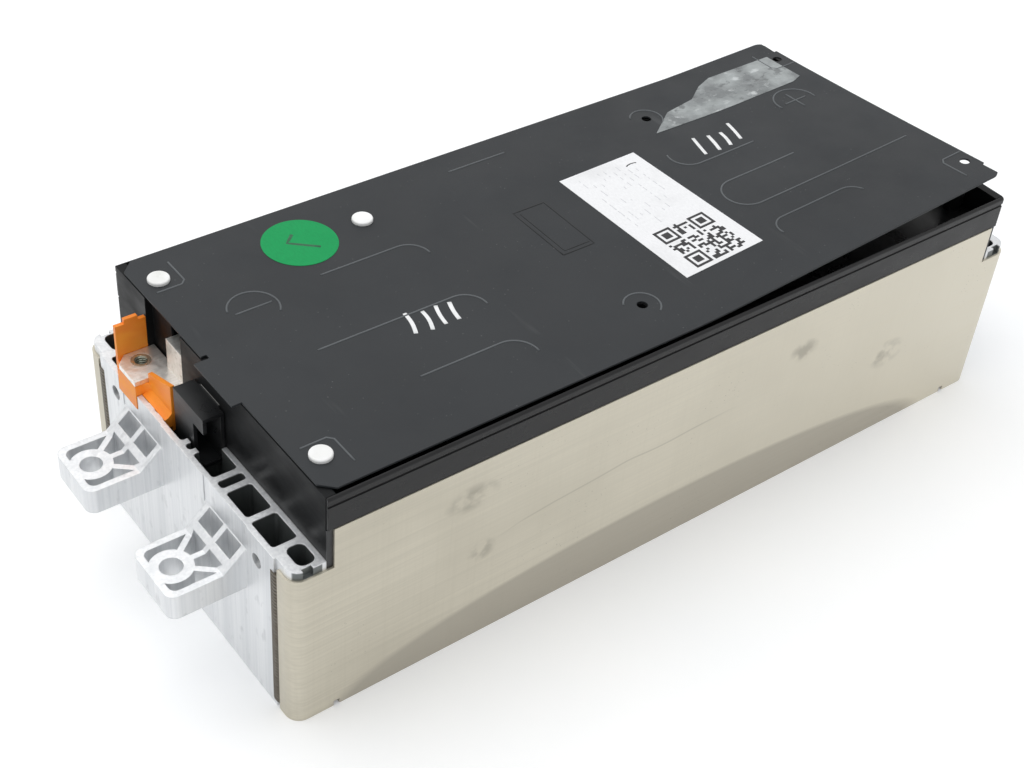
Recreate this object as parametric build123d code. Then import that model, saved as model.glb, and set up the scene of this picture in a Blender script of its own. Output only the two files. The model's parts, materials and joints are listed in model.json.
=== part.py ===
from build123d import *
from math import atan2, degrees, hypot
import os

# EV traction battery module: a stack of prismatic cells clamped between two extruded
# aluminium end plates by two folded steel side plates, with a busbar carrier and a thin
# plastic lid on top. The lid has come off its rear rivets and stands up at one corner.
#
# Frame: millimetres, +Z up, +X from the connector end to the rear end, origin at the
# centre of the bottom face.

# ---- Cell stack ----
cell_count = 12
cell_thickness = 26.5
cell_width = 148.0
cell_height = 91.0
cell_corner_radius = 3.0
pad_thickness = 1.2
pad_border = 3.0
floor_film_thickness = 0.5
side_film_thickness = 0.4
film_clearance = 0.1

# ---- Cell terminals and busbars ----
terminal_length = 16.0
terminal_width = 22.0
terminal_height = 3.0
terminal_y = 35.0
vent_length = 12.0
vent_width = 24.0
vent_height = 0.6
busbar_thickness = 1.5
busbar_arch_height = 2.5
busbar_arch_length = 8.0
output_bar_thickness = 2.0

# ---- Steel side plates ----
steel_thickness = 1.0
steel_bend_radius = 6.0
side_plate_height = 92.0
side_notch_height = 73.7
side_notch_x = 167.0
end_flange_width = 9.7
bottom_flange_width = 15.0
bend_relief = 2.5

# ---- End plates ----
plate_depth = 14.4
plate_height = 77.5
plate_wall = 2.3
back_wall = 2.0
web_thickness = 2.65
middle_chamber = 3.4
narrow_chamber = 3.9
wide_chamber = 14.4
corner_wall = 4.2
chamber_radius = 1.4
weld_gap = 1.8
weld_lap = 2.5
weld_crown = 0.4
weld_end_margin = 3.0
face_hole_diameter = 6.0
face_hole_y = 52.3
face_hole_z = 66.3
lifting_slot_length = 4.0
lifting_slot_depth = 1.6

# ---- Mounting lugs, part of each end plate ----
lug_reach = 30.2
lug_width = 27.8
lug_y = 30.8
lug_bottom = 46.0
lug_top = 57.0
lug_corner_radius = 4.0
lug_wall = 2.7
lug_web = 2.4
lug_ring_diameter = 16.4
lug_hole_diameter = 8.5
lug_hole_inset = 8.4
lug_cross_web_start = 4.9
lug_slope_start = 9.0
lug_slope_rise = 8.3
mill_depth = 0.3
lug_root_radius = 1.2

# ---- Carrier and end insulators ----
end_insulator_thickness = 4.0
carrier_top = 106.8
carrier_floor_thickness = 1.8
carrier_floor_gap = 0.2
carrier_wall = 1.1
carrier_inset = 0.3
carrier_round = 1.2
groove_height = 1.2
groove_depth = 0.4
groove_drop = 3.0
part_gap = 0.2
post_diameter = 8.0
window_clearance = 1.0
riser_pocket_depth = 2.9

# ---- Lid ----
lid_thickness = 0.8
lid_gap = 0.3
lid_width = 145.4
lid_front_inset = 0.3
lid_rear_inset = 3.6
lid_tab_reach = 4.0
lid_tab_y0 = -19.5
lid_tab_y1 = 9.3
lid_hook_width = 2.2
lid_corner_step = 1.5
lid_corner_radius = 5.0
skin_margin = 6.0
skin_columns = 25
skin_rows = 9
near_lift = 11.6
near_lift_start = -14.0
far_lift = 2.2
far_lift_start = 85.0
rivet_end_inset = 4.9
rivet_y = 56.8
mid_rivet_x = 74.5
mid_rivet_y = 50.2
centre_rivet_x = -14.0
centre_rivet_y = -51.0
rivet_head_diameter = 8.6
rivet_head_height = 1.5
rivet_shank_diameter = 4.0
rivet_shank_length = 6.0
rivet_clearance = 0.2

# ---- Stickers on the lid ----
sticker_thickness = 0.12
sticker_gap = 0.03
label_length = 40.8
label_width = 79.0
label_turn = 0.8
label_x = 31.4
label_y = -8.0
round_sticker_diameter = 30.3
round_sticker_x = -103.5
round_sticker_y = 50.0
tape_end = 158.0
tape_y0 = 37.2
tape_y1 = 62.0

# ---- Power terminals ----
power_terminal_x_inset = 8.1
power_terminal_y = 45.1
power_bar_top = 84.0
power_bar_y0 = 24.5
power_bar_y1 = 51.0
power_bar_step_y = 34.6
power_bar_chamfer = 4.0
riser_y1 = 36.5
nut_flange_diameter = 11.0
nut_collar_diameter = 7.6
nut_thread_diameter = 5.0
shroud_wall = 1.7
shroud_y0 = 16.8
shroud_step = 5.5
shroud_groove_radius = 3.0
shroud_low_top = 86.3
shroud_slope_top = 92.5
pocket_floor = 71.0
pocket_front = 4.9
shroud_side_top = 98.0
shroud_crest = 100.0
shroud_clearance = 0.2

# ---- Low-voltage connector and flex circuit ----
connector_y0 = -7.0
connector_y1 = 14.6
connector_top = 94.0
connector_depth = 8.6
connector_wall = 1.5
connector_mouth_width = 7.5
connector_lip = 6.7
connector_tail_width = 14.0
connector_tail_height = 4.0
flex_width = 20.0
flex_thickness = 0.3
flex_tab_width = 5.0

# ---- Sizes that follow ----
pitch = cell_thickness + pad_thickness
stack_length = cell_count * cell_thickness + (cell_count - 1) * pad_thickness
stack_end = stack_length / 2
plate_back = stack_end + end_insulator_thickness
body_end = plate_back + plate_depth
inner_y = cell_width / 2 + film_clearance + side_film_thickness
outer_y = inner_y + steel_thickness
flange_edge_y = outer_y - end_flange_width
plate_land_y = flange_edge_y - weld_gap
cell_bottom = steel_thickness + floor_film_thickness
cell_top = cell_bottom + cell_height
terminal_top = cell_top + terminal_height
carrier_y = outer_y - carrier_inset
carrier_floor = cell_top + carrier_floor_gap
carrier_floor_top = carrier_floor + carrier_floor_thickness
lid_bottom = carrier_top + lid_gap
lid_top = lid_bottom + lid_thickness
lid_front = -plate_back + lid_front_inset
lid_rear = plate_back - lid_rear_inset
skirt_y0 = power_bar_step_y - shroud_clearance
skirt_y1 = power_bar_y1 - power_bar_chamfer + shroud_wall
bar_step = shroud_step + shroud_wall + shroud_clearance
rivet_x = stack_end - rivet_end_inset
lug_hole_x = body_end + lug_reach - lug_hole_inset
power_terminal_x = body_end - power_terminal_x_inset
power_bar_bottom = power_bar_top - output_bar_thickness
chamber_front = body_end - plate_wall
chamber_back = plate_back + back_wall
riser_outer = plate_back - shroud_clearance
riser_inner = riser_outer - output_bar_thickness
tail_y0 = (connector_y0 + connector_y1 - connector_tail_width) / 2
tail_y1 = tail_y0 + connector_tail_width
on_base = (Align.CENTER, Align.CENTER, Align.MIN)


def block(x0, x1, y0, y1, z0, z1):
    """A box between two corners."""
    centre = Pos((x0 + x1) / 2, (y0 + y1) / 2, (z0 + z1) / 2)
    return centre * Box(abs(x1 - x0), abs(y1 - y0), abs(z1 - z0))


def area(x0, x1, y0, y1):
    """A flat rectangle between two corners, in the XY plane."""
    return Pos((x0 + x1) / 2, (y0 + y1) / 2) * Rectangle(abs(x1 - x0), abs(y1 - y0))


def rounded_area(x0, x1, y0, y1, radius):
    """A flat rectangle whose corners are rounded as far as its sides allow."""
    limit = 0.45 * min(abs(x1 - x0), abs(y1 - y0))
    flat = RectangleRounded(abs(x1 - x0), abs(y1 - y0), min(radius, limit))
    return Pos((x0 + x1) / 2, (y0 + y1) / 2) * flat


def upright(flat, z0, z1):
    """A flat shape pulled up into a prism between two heights."""
    return Pos(0, 0, z0) * extrude(flat, z1 - z0)


def at_front(shape):
    """The same piece for the connector end, which mirrors the rear end."""
    return mirror(shape, Plane.YZ)


def at_right(shape):
    """The same piece for the -Y side."""
    return mirror(shape, Plane.XZ)


def cell_centre_x(index):
    return (index - (cell_count - 1) / 2) * pitch


# ---- Cells, pads and films ----
def make_cell(index):
    """A prismatic can with its two terminal blocks and its vent disc."""
    x = cell_centre_x(index)
    half = cell_thickness / 2
    can = rounded_area(x - half, x + half, -cell_width / 2, cell_width / 2, cell_corner_radius)
    cell = upright(can, cell_bottom, cell_top)
    for y in (-terminal_y, terminal_y):
        post = rounded_area(
            x - terminal_length / 2,
            x + terminal_length / 2,
            y - terminal_width / 2,
            y + terminal_width / 2,
            chamber_radius,
        )
        cell += upright(post, cell_top, terminal_top)
    vent = Pos(x, 0) * SlotOverall(vent_width, vent_length, rotation=90)
    cell -= upright(vent, cell_top - vent_height, cell_top)
    return cell


def make_pad(index):
    """The compression pad between a cell and the next one."""
    x = cell_centre_x(index) + pitch / 2
    half_y = cell_width / 2 - pad_border
    low = cell_bottom + pad_border
    high = cell_top - pad_border
    half = pad_thickness / 2
    return block(x - half, x + half, -half_y, half_y, low, high)


def make_side_film():
    """The insulating film between the cells and the steel, on the +Y side."""
    y0 = cell_width / 2 + film_clearance
    return block(-plate_back, plate_back, y0, inner_y, steel_thickness, side_plate_height)


def make_floor_film():
    """The insulating sheet under the cells, which lies on the steel flanges."""
    y = cell_width / 2
    return block(-stack_end, stack_end, -y, y, steel_thickness, cell_bottom)


# ---- Steel side plate ----
def make_side_plate():
    """One folded sheet: a tall wall, a flange round each end and a flange underneath."""
    inner_radius = steel_bend_radius - steel_thickness
    outside = rounded_area(-body_end, body_end, -outer_y, outer_y, steel_bend_radius)
    in_x = body_end - steel_thickness
    inside = rounded_area(-in_x, in_x, -inner_y, inner_y, inner_radius)
    keep = area(-body_end, body_end, flange_edge_y, outer_y)
    wall = upright((outside - inside) & keep, 0, side_plate_height)
    flange_end = side_notch_x - bend_relief
    flange_y = inner_y - bottom_flange_width
    wall += block(-flange_end, flange_end, flange_y, inner_y, 0, steel_thickness)
    for end in (-1, 1):
        x0 = end * side_notch_x
        x1 = end * (body_end + steel_thickness)
        wall -= block(x0, x1, 0, outer_y + 1, side_notch_height, side_plate_height)
        relief = end * flange_end
        wall -= block(relief, x0, 0, outer_y + 1, 0, bend_relief)
    return wall


# ---- End plate ----
def chamber_spans():
    """Y ranges of the chambers beside the middle one, counted outwards."""
    spans = []
    start = middle_chamber / 2 + web_thickness
    for width in (wide_chamber, narrow_chamber, wide_chamber, wide_chamber):
        spans.append((start, start + width))
        start += width + web_thickness
    return spans, start


def end_plate_profile():
    """The extrusion's section: two walls joined by cross webs."""
    core = area(plate_back, body_end - steel_thickness, -inner_y, inner_y)
    front = core.vertices().group_by(Axis.X)[-1]
    core = fillet(front, steel_bend_radius - steel_thickness)
    land = area(body_end - steel_thickness, body_end, -plate_land_y, plate_land_y)
    section = core + land
    half = middle_chamber / 2
    section -= rounded_area(chamber_back, chamber_front, -half, half, chamber_radius)
    spans, corner_start = chamber_spans()
    corner_front = body_end - steel_thickness - corner_wall
    for side in (-1, 1):
        for y0, y1 in spans:
            section -= rounded_area(
                chamber_back, chamber_front, side * y0, side * y1, chamber_radius
            )
        section -= rounded_area(
            chamber_back,
            corner_front,
            side * corner_start,
            side * (inner_y - plate_wall),
            2 * chamber_radius,
        )
    return section


def bar(x0, y0, x1, y1, width):
    """A flat web with round ends between two points."""
    angle = degrees(atan2(y1 - y0, x1 - x0))
    web = SlotCenterToCenter(hypot(x1 - x0, y1 - y0), width, rotation=angle)
    return Pos((x0 + x1) / 2, (y0 + y1) / 2) * web


def lug_profile():
    """One lug seen from above: an outer wall, a bolt ring and the webs between them."""
    root = body_end - mill_depth
    tip = body_end + lug_reach
    half = lug_width / 2
    outline = area(root, tip, -half, half)
    outline = fillet(outline.vertices().group_by(Axis.X)[-1], lug_corner_radius)
    pocket = area(body_end, tip - lug_wall, lug_wall - half, half - lug_wall)
    pocket = fillet(pocket.vertices().group_by(Axis.X)[-1], lug_corner_radius - lug_web / 2)
    ring = Pos(lug_hole_x, 0) * Circle(lug_ring_diameter / 2)
    spine = area(body_end, lug_hole_x, -lug_web / 2, lug_web / 2)
    cross_start = body_end + lug_cross_web_start
    cross = area(cross_start, cross_start + lug_web, -half, half)
    webs = ring + spine + cross
    reach = lug_hole_x - lug_ring_diameter / 2 - 2 * lug_web
    for side in (-1, 1):
        webs += bar(lug_hole_x, 0, reach - lug_web, side * (half - lug_wall / 2), lug_web)
    pocket -= webs
    pocket -= area(lug_hole_x, tip, -lug_ring_diameter / 4, lug_ring_diameter / 4)
    return outline - pocket


def make_end_plate(with_connector):
    """An end plate: one vertical extrusion, milled back to leave two lugs."""
    plate = upright(end_plate_profile(), 0, plate_height)
    land = lug_profile()
    foot = body_end - mill_depth
    tip = body_end + lug_reach + 1
    slope_top = lug_top + lug_slope_rise
    mill = Polyline(
        (tip, lug_top),
        (body_end + lug_slope_start, lug_top),
        (foot, slope_top),
        (foot, plate_height + 1),
        (tip, plate_height + 1),
        close=True,
    )
    cutter = extrude(Plane.XZ * make_face(mill), lug_width / 2 + lug_root_radius, both=True)
    for side in (-1, 1):
        lug = upright(land, lug_bottom, plate_height)
        plate += Pos(0, side * lug_y, 0) * lug
        plate -= Pos(0, side * lug_y, 0) * cutter
        plate -= Pos(lug_hole_x, side * lug_y, lug_bottom) * Cylinder(
            lug_hole_diameter / 2, 4 * (lug_top - lug_bottom)
        )
        drill = Cylinder(face_hole_diameter / 2, 2 * plate_wall, rotation=(0, 90, 0))
        plate -= Pos(body_end - plate_wall / 2, side * face_hole_y, face_hole_z) * drill
        slot_x = (plate_back + body_end) / 2
        slot_y = side * inner_y
        plate -= Pos(slot_x, slot_y, plate_height) * Box(
            lifting_slot_length, 2 * lifting_slot_depth, 2 * (plate_height - side_notch_height)
        )
    # The top is milled down under the terminal shroud, and out through the front wall
    # where the shroud's skirt hangs in it.
    pocket_y0 = connector_y0 if with_connector else shroud_y0
    pocket_y1 = skirt_y1 + shroud_clearance
    plate -= block(
        plate_back - 1,
        body_end - pocket_front,
        pocket_y0 - shroud_clearance,
        pocket_y1,
        pocket_floor,
        plate_height + 1,
    )
    plate -= block(
        plate_back,
        body_end + 1,
        skirt_y0 - shroud_clearance,
        pocket_y1,
        pocket_floor,
        plate_height + 1,
    )
    return plate


def make_weld(side):
    """A weld bead that joins a steel flange to the rear end plate."""
    y_in = plate_land_y - weld_lap
    root = body_end - steel_thickness
    crown = body_end + weld_crown
    bead = Polyline(
        (root, plate_land_y),
        (root, flange_edge_y),
        (body_end, flange_edge_y),
        (crown, (y_in + flange_edge_y) / 2 + weld_gap / 2),
        (crown, (y_in + flange_edge_y) / 2 - weld_gap / 2),
        (body_end, y_in),
        (body_end, plate_land_y),
        close=True,
    )
    top = side_notch_height - weld_end_margin
    seam = upright(make_face(bead), weld_end_margin, top)
    return seam if side > 0 else at_right(seam)


# ---- Carrier and end insulators ----
def rivet_spots():
    """Centres of the lid's seven rivet holes."""
    spots = [(end * rivet_x, side * rivet_y) for end in (-1, 1) for side in (-1, 1)]
    spots += [(end * mid_rivet_x, mid_rivet_y) for end in (-1, 1)]
    spots.append((centre_rivet_x, centre_rivet_y))
    return spots


def busbar_joints():
    """Boundaries that a busbar bridges: (index of the first cell, side)."""
    return [(index, -1 if index % 2 == 0 else 1) for index in range(cell_count - 1)]


def make_carrier():
    """The moulded tray over the cells: long walls, a pierced floor and rivet posts."""
    end_x = plate_back - part_gap
    floor_x = stack_end - part_gap
    inside_y = carrier_y - carrier_wall
    wall_bottom = side_plate_height + part_gap
    walls = block(-end_x, end_x, -carrier_y, carrier_y, wall_bottom, carrier_top)
    long_edges = walls.edges().filter_by(Axis.X).group_by(Axis.Z)[-1]
    walls = fillet(long_edges, carrier_round)
    walls -= block(-end_x, end_x, -inside_y, inside_y, wall_bottom, carrier_top)
    for side in (-1, 1):
        groove_top = carrier_top - groove_drop
        walls -= block(
            -end_x,
            end_x,
            side * (carrier_y - groove_depth),
            side * (carrier_y + 1),
            groove_top - groove_height,
            groove_top,
        )
    floor = area(-floor_x, floor_x, -inside_y, inside_y)
    for index in range(cell_count):
        for y in (-terminal_y, terminal_y):
            floor -= Pos(cell_centre_x(index), y) * Rectangle(
                terminal_length + 2 * window_clearance, terminal_width + 2 * window_clearance
            )
    carrier = walls + upright(floor, carrier_floor, carrier_floor_top)
    for x, y in rivet_spots():
        post = Cylinder(post_diameter / 2, carrier_top - carrier_floor_top)
        post -= Cylinder(rivet_shank_diameter / 2 + rivet_clearance, carrier_top)
        carrier += Pos(x, y, (carrier_top + carrier_floor_top) / 2) * post
    return carrier


def make_end_insulator(with_connector):
    """The plastic plate between the last cell and the end plate, up to the lid."""
    low_y = cell_width / 2
    high_y = carrier_y - carrier_wall - part_gap
    split = side_plate_height
    plate = block(stack_end, plate_back, -low_y, low_y, steel_thickness, split)
    plate += block(stack_end, plate_back, -high_y, high_y, split, carrier_top)
    pocket = plate_back - riser_pocket_depth
    y0 = power_bar_y0 - shroud_clearance
    y1 = power_bar_y1 + shroud_clearance
    floor = power_bar_bottom - shroud_clearance
    plate -= block(pocket, plate_back, y0, y1, floor, carrier_top)
    riser_side = riser_y1 + shroud_clearance
    plate -= block(stack_end, plate_back, y0, riser_side, terminal_top - part_gap, carrier_top)
    if with_connector:
        plate -= block(
            stack_end,
            plate_back,
            tail_y0 - part_gap,
            tail_y1 + part_gap,
            carrier_floor_top - connector_tail_height - part_gap,
            carrier_floor_top + flex_thickness + part_gap,
        )
    return plate


# ---- Busbars ----
def make_busbar(index, side):
    """An arched link from one cell's terminal to the next one's."""
    x0 = cell_centre_x(index) - terminal_length / 2
    x1 = cell_centre_x(index + 1) + terminal_length / 2
    mid = (x0 + x1) / 2
    half = busbar_arch_length / 2
    low = terminal_top
    crest = low + busbar_arch_height
    path = Polyline(
        (x0, low),
        (mid - half, low),
        (mid - half / 2, crest),
        (mid + half / 2, crest),
        (mid + half, low),
        (x1, low),
    )
    strip = Polyline(
        *[(p.X, p.Y) for p in path.vertices()],
        *[(p.X, p.Y + busbar_thickness) for p in reversed(path.vertices())],
        close=True,
    )
    link = extrude(Plane.XZ * make_face(strip), (terminal_width - 2) / 2, both=True)
    return Pos(0, side * terminal_y, 0) * link


def make_output_bar():
    """The rear output busbar: a flat landing, a riser and a foot on the last cell."""
    landing = area(riser_inner, body_end, power_bar_y0, power_bar_y1)
    landing -= area(body_end - bar_step, body_end, power_bar_y0, power_bar_step_y)
    far_corner = landing.vertices().sort_by(Axis.X)[-2:].sort_by(Axis.Y)[-1]
    landing = chamfer(far_corner, power_bar_chamfer)
    landing -= Pos(power_terminal_x, power_terminal_y) * Circle(
        nut_collar_diameter / 2 + part_gap / 4
    )
    bar_solid = upright(landing, power_bar_bottom, power_bar_top)
    foot_top = terminal_top + output_bar_thickness
    bar_solid += block(
        riser_inner, riser_outer, power_bar_y0, riser_y1, power_bar_bottom, foot_top
    )
    foot_end = cell_centre_x(cell_count - 1) - terminal_length / 2
    bar_solid += block(foot_end, riser_outer, power_bar_y0, riser_y1, terminal_top, foot_top)
    return bar_solid


# ---- Power terminal shroud and nut ----
def make_shroud():
    """The orange moulding round the rear power terminal, open towards the end."""
    y_far = power_bar_y1 + shroud_clearance
    front = body_end
    back = plate_back + shroud_clearance
    low = pocket_floor + part_gap
    high = plate_height + part_gap
    top = power_bar_bottom
    screen_x = front - shroud_step
    shroud = block(back, screen_x, shroud_y0, skirt_y1, low, top)
    shroud += block(screen_x, front, skirt_y0, skirt_y1, low, top)
    groove = shroud.edges().filter_by(Axis.Z).sort_by_distance((screen_x, skirt_y0, top))[0]
    shroud = fillet(groove, shroud_groove_radius)
    shroud += block(back, front - shroud_wall, skirt_y1, y_far, high, top)
    side_wall = Polyline(
        (back, high),
        (front - shroud_wall, high),
        (front - shroud_wall, shroud_side_top),
        (front - shroud_step, shroud_side_top),
        (front - shroud_step, shroud_crest),
        (front - 2 * shroud_step, shroud_crest),
        (front - 2 * shroud_step, shroud_side_top),
        (back, shroud_side_top),
        close=True,
    )
    shroud += Pos(0, y_far, 0) * extrude(Plane.XZ * make_face(side_wall), -shroud_wall)
    screen = Polyline(
        (shroud_y0, top),
        (skirt_y0, top),
        (skirt_y0, shroud_low_top),
        (shroud_y0, shroud_slope_top),
        close=True,
    )
    screen = extrude(Plane.YZ * make_face(screen), shroud_wall)
    shroud += Pos(screen_x - shroud_wall, 0, 0) * screen
    well = Cylinder(nut_flange_diameter / 2 + part_gap, 2 * (top - low))
    return shroud - Pos(power_terminal_x, power_terminal_y, top) * well


def make_nut():
    """The collar nut under the rear landing; its collar comes up flush with the bar."""
    low = pocket_floor + part_gap
    nut = Cylinder(nut_flange_diameter / 2, power_bar_bottom - low, align=on_base)
    nut += Cylinder(nut_collar_diameter / 2, power_bar_top - low, align=on_base)
    nut -= Cylinder(nut_thread_diameter / 2, 2 * (power_bar_top - low))
    return Pos(power_terminal_x, power_terminal_y, low) * nut


# ---- Low-voltage connector and flex circuit, both at the connector end ----
def make_connector():
    """A socket housing on the end plate, with a tail through the end insulator."""
    back = -plate_back - part_gap
    front = back - connector_depth
    low = pocket_floor + part_gap
    body = block(front, back, connector_y0, connector_y1, low, connector_top)
    body -= block(
        front + connector_wall,
        back - connector_wall,
        connector_y0 - 1,
        connector_y1 - 3 * connector_wall,
        low + connector_wall,
        connector_top - connector_wall,
    )
    body -= block(
        front - 1,
        front + 2 * connector_wall,
        connector_y0 - 1,
        connector_y0 + connector_mouth_width,
        low + connector_wall,
        connector_top - connector_lip,
    )
    tail_bottom = carrier_floor_top - connector_tail_height
    body += block(
        back, -stack_end - part_gap, tail_y0, tail_y1, tail_bottom, carrier_floor_top
    )
    return body


def make_flex():
    """The sensing circuit down the middle of the carrier, with a tab per busbar."""
    end = cell_centre_x(cell_count - 1)
    top = carrier_floor_top + flex_thickness
    strip = area(-stack_end, end, -flex_width / 2, flex_width / 2)
    strip += area(-plate_back, -stack_end, tail_y0, flex_width / 2)
    tab_reach = terminal_y - terminal_width / 2 - window_clearance
    for index, side in busbar_joints():
        x = cell_centre_x(index) + pitch / 2
        strip += Pos(x, side * (flex_width / 2 + tab_reach) / 2) * Rectangle(
            flex_tab_width, tab_reach - flex_width / 2
        )
    return upright(strip, carrier_floor_top, top)


# ---- Lid ----
def lift(x, y):
    """How far the loosened lid stands above its seat at a point."""
    across = (lid_width / 2 - y) / lid_width
    near = ramp(x, near_lift_start) * near_lift
    far = ramp(x, far_lift_start) * far_lift
    return far + (near - far) * across**1.25


def ramp(x, start):
    """A straight rise to 1 at the rear edge, eased in over a short stretch."""
    ease = 30.0
    run = x - start
    rise = max(0.0, min(run, ease)) ** 2 / (2 * ease) + max(0.0, run - ease)
    return rise / (lid_rear - start - ease / 2)


def lid_skin():
    """A surface over the whole lid that follows its warp, at the height of its seat."""
    half_x = plate_back + skin_margin
    half_y = lid_width / 2 + skin_margin
    grid = []
    for i in range(skin_columns):
        x = -half_x + 2 * half_x * i / (skin_columns - 1)
        row = []
        for j in range(skin_rows):
            y = -half_y + 2 * half_y * j / (skin_rows - 1)
            row.append(Vector(x, y, lift(x, min(y, lid_width / 2))))
        grid.append(row)
    return Face.make_surface_from_array_of_points(grid)


def lid_sheet(skin, flat, bottom, thickness):
    """The part of a warped sheet that lies above a flat outline."""
    sheet = Solid.extrude(Pos(0, 0, bottom) * skin, Vector(0, 0, thickness))
    prism = upright(flat, bottom - 1, bottom + thickness + near_lift + far_lift + 1)
    return sheet & prism


def lid_outline():
    """The lid seen from above, with its front tab, corner steps and rivet holes."""
    half_y = lid_width / 2
    flat = area(lid_front, lid_rear, -half_y, half_y)
    rear = flat.vertices().group_by(Axis.X)[-1]
    flat = fillet(rear, lid_corner_radius)
    front = flat.vertices().group_by(Axis.X)[0]
    flat = chamfer(front, lid_corner_radius)
    tab_y1 = lid_tab_y1 - lid_hook_width
    flat += area(lid_front - lid_tab_reach, lid_front, lid_tab_y0, tab_y1)
    flat -= area(lid_front, lid_front + lid_hook_width, tab_y1, lid_tab_y1)
    step_corner = half_y - 2 * lid_corner_radius
    for side in (-1, 1):
        flat -= area(
            lid_rear - lid_corner_step, lid_rear + 1, side * step_corner, side * (half_y + 1)
        )
    for x, y in rivet_spots():
        flat -= Pos(x, y) * Circle(rivet_shank_diameter / 2 + rivet_clearance)
    return flat


def label_outline():
    return Pos(label_x, label_y) * Rectangle(label_length, label_width, rotation=label_turn)


def round_sticker_outline():
    return Pos(round_sticker_x, round_sticker_y) * Circle(round_sticker_diameter / 2)


def make_rivets():
    """The three rivets that still hold the lid."""
    rivets = []
    for x, y in rivet_spots():
        if x > 0 or (x, y) == (centre_rivet_x, centre_rivet_y):
            continue
        shank = Cylinder(rivet_shank_diameter / 2, rivet_shank_length, align=on_base)
        head = Cylinder(rivet_head_diameter / 2, rivet_head_height, align=on_base)
        head = fillet(head.edges().group_by(Axis.Z)[-1], rivet_head_height / 2)
        rivet = shank + Pos(0, 0, rivet_shank_length) * head
        rivets.append(Pos(x, y, lid_top + sticker_gap - rivet_shank_length) * rivet)
    return rivets


def tape_outline():
    """What is left of a strip of tape, torn off at a slant on its front side."""
    torn = Polyline(
        (70, 38.2),
        (86, 49.3),
        (103, 52),
        (113, 58.7),
        (tape_end - 36, tape_y1),
        (tape_end, tape_y1 - 1),
        (tape_end, tape_y0 + 2),
        (tape_end - 6, tape_y0),
        (113, tape_y0),
        close=True,
    )
    return make_face(torn)


def save(shape, node):
    if isinstance(shape, list):
        shape = Compound(children=shape)
    export_step(shape, "parts/" + node + ".step")


def main():
    os.makedirs("parts", exist_ok=True)
    for index in range(cell_count):
        save(make_cell(index), f"cell_{index + 1:02d}")
    for index in range(cell_count - 1):
        save(make_pad(index), f"cell_pad_{index + 1:02d}")
    film = make_side_film()
    save(film, "side_film_left")
    save(at_right(film), "side_film_right")
    save(make_floor_film(), "floor_film")
    steel = make_side_plate()
    save(steel, "side_plate_left")
    save(at_right(steel), "side_plate_right")
    save(make_end_plate(False), "end_plate_rear")
    save(at_front(make_end_plate(True)), "end_plate_front")
    rear_welds = [make_weld(1), make_weld(-1)]
    save(rear_welds + [at_front(weld) for weld in rear_welds], "weld_seams")
    save(make_carrier(), "busbar_carrier")
    save(make_end_insulator(False), "end_insulator_rear")
    save(at_front(make_end_insulator(True)), "end_insulator_front")
    for number, (index, side) in enumerate(busbar_joints()):
        save(make_busbar(index, side), f"busbar_{number + 1:02d}")
    output = make_output_bar()
    save(output, "output_bar_rear")
    save(at_front(output), "output_bar_front")
    shroud = make_shroud()
    save(shroud, "terminal_shroud_rear")
    save(at_front(shroud), "terminal_shroud_front")
    nut = make_nut()
    save(nut, "terminal_nut_rear")
    save(at_front(nut), "terminal_nut_front")
    save(make_connector(), "sense_connector")
    save(make_flex(), "sense_flex")
    skin = lid_skin()
    save(lid_sheet(skin, lid_outline(), lid_bottom, lid_thickness), "lid")
    save(make_rivets(), "lid_rivets")
    stickers = {
        "label": label_outline(),
        "round_sticker": round_sticker_outline(),
        "tape_remnant": tape_outline(),
    }
    for node, outline in stickers.items():
        save(lid_sheet(skin, outline, lid_top + sticker_gap, sticker_thickness), node)


main()
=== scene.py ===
import json
import math
import random

import bmesh
import bpy
from mathutils import Matrix, Vector
from mathutils.bvhtree import BVHTree


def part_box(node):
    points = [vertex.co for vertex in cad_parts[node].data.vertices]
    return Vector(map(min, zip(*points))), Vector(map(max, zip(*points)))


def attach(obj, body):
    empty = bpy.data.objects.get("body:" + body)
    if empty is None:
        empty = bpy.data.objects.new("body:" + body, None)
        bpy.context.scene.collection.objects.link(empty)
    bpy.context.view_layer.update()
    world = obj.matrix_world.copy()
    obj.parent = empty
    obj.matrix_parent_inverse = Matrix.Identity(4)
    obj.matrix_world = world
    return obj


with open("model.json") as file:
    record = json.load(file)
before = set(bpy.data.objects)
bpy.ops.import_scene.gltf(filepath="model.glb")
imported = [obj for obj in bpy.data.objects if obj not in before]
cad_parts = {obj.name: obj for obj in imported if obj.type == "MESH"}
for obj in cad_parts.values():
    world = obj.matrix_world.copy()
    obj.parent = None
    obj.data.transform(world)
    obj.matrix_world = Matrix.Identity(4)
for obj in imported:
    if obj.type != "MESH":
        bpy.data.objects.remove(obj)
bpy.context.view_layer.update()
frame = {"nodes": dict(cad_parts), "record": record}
nodes = frame["nodes"]

MM = 0.001

# ---- Camera, in metres and degrees ----
CAMERA_PLACE = Vector((-0.37769, -0.40436, 0.49149))
CAMERA_HEADING = 49.42128
CAMERA_DIP = 40.3607
CAMERA_ROLL = 5.5205
CAMERA_LENS = 58.6
CAMERA_SENSOR = 36.0

# ---- Light ----
WORLD_LEVEL = 0.62
SOFTBOX_WATTS = 13.0
SOFTBOX_SIZE = 1.5
SOFTBOX_PLACE = Vector((-0.25, 0.35, 1.55))
FLOOR_HALF = 14.0
FLOOR_LIFT = 0.18
SKY_TINT = (0.97, 0.985, 1.0, 1.0)
SKY_SHOWN = (1.0, 1.0, 1.0, 1.0)

# ---- Shading, in degrees ----
SMOOTH_ANGLE = 32.0

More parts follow.
